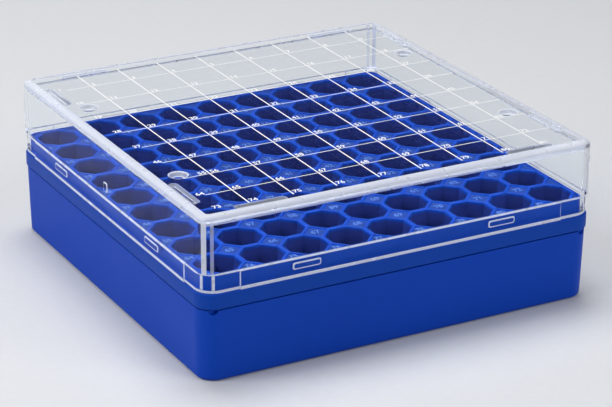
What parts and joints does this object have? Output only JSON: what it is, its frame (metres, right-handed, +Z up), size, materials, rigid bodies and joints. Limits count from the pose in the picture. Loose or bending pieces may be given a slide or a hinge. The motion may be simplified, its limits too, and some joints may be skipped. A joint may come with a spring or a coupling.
{
  "type": "cryogenic storage box",
  "caption": "Square two-inch freezer box for sample tubes: blue tray, snap-in rack of octagonal wells, and a clear lift-off lid with a printed, numbered grid.",
  "frame": {"origin": "centre of the tray's underside", "axes": "+Z up, -Y towards the front face, +X to the right"},
  "size_m": [0.132, 0.132, 0.0509],
  "materials": {
    "blue_tray_plastic": "satin moulded polycarbonate",
    "blue_rack_plastic": "satin moulded polycarbonate",
    "clear_plastic": "clear polished polycarbonate",
    "white_print": "screen-printed ink"
  },
  "bodies": {
    "tray": {"base_tray": "blue_tray_plastic"},
    "rack": {"rack_collar": "blue_rack_plastic", "rack_snap_bumps": "blue_rack_plastic", "rack_walls_across": "blue_rack_plastic", "rack_walls_along": "blue_rack_plastic", "rack_posts": "blue_rack_plastic", "rack_edge_posts": "blue_rack_plastic"},
    "lid": {"lid": "clear_plastic"}
  },
  "joints": [
    {"name": "rack_lift", "type": "slide", "parent": "tray", "child": "rack", "axis": [0, 0, 1], "range_m": [0, 0.04]},
    {"name": "lid_lift", "type": "slide", "parent": "rack", "child": "lid", "axis": [0, 0, 1], "range_m": [0, 0.04]}
  ]
}
